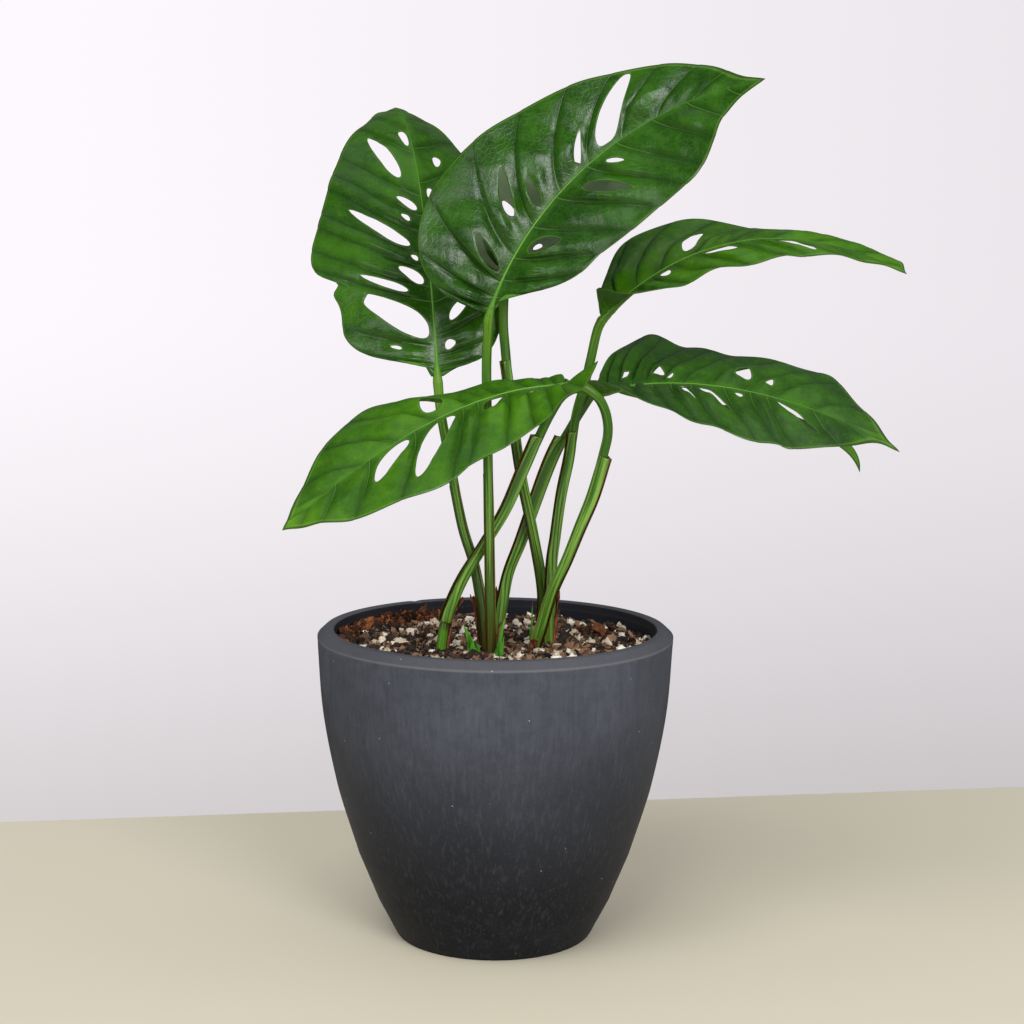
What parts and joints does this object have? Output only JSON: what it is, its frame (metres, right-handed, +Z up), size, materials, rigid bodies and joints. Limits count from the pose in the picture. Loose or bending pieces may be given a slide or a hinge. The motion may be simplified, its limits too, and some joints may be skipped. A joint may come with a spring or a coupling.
{
  "type": "potted swiss cheese vine",
  "caption": "Foliage house plant: upright and arching heart-shaped leaves with natural holes, on slender sheathed stalks, rooted in bark soil in a round tapering pot.",
  "frame": {"origin": "centre of the pot's flat base, on the surface that it stands on", "axes": "+Z up along the pot's axis, -Y towards the viewer of the picture, +X to the viewer's right"},
  "size_m": [0.2952, 0.2283, 0.4376],
  "materials": {
    "pot": "charcoal, satin-matte, unglazed look with faint vertical streaks and small pale specks",
    "soil": "loose bark chips, coir fibre and cream pumice bits",
    "leaf": "fresh leaf tissue, deep green and softly glossy above, paler yellow-green beneath, quilted between lighter veins",
    "shoot": "young shoot, bright green, smooth"
  },
  "bodies": {
    "root": {"pot": "pot", "soil": "soil", "leaf_front": "leaf", "leaf_back": "leaf", "leaf_between": "leaf", "leaf_right_upper": "leaf", "leaf_right_lower": "leaf", "leaf_right_under": "leaf", "leaf_left": "leaf", "shoot_left": "shoot", "shoot_right": "shoot"}
  },
  "joints": []
}
